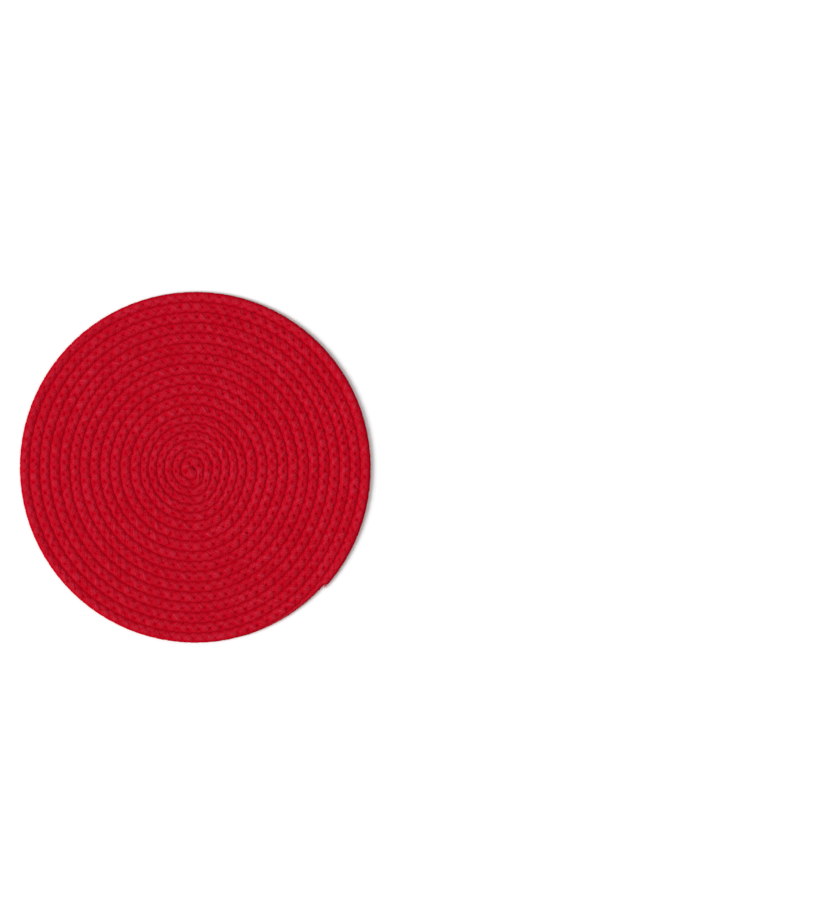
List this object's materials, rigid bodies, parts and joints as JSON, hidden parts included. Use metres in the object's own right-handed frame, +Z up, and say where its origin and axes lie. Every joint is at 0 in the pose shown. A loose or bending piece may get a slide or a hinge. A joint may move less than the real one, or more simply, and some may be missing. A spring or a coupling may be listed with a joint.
{
  "type": "round braided placemat",
  "caption": "Flat round table mat of braided cotton rope, wound in a spiral from its middle and sewn turn to turn.",
  "frame": {"origin": "under the middle of the round outline, on the surface that the mat lies on", "axes": "+Z up out of the upper face, +X to the picture's right, +Y to its top; the rope's cut end is at the lower right, between +X and -Y"},
  "size_m": [0.381, 0.381, 0.006],
  "materials": {
    "cotton_rope": "matte dyed cotton braid"
  },
  "bodies": {
    "root": {"coiled_rope_mat": "cotton_rope"}
  },
  "joints": []
}
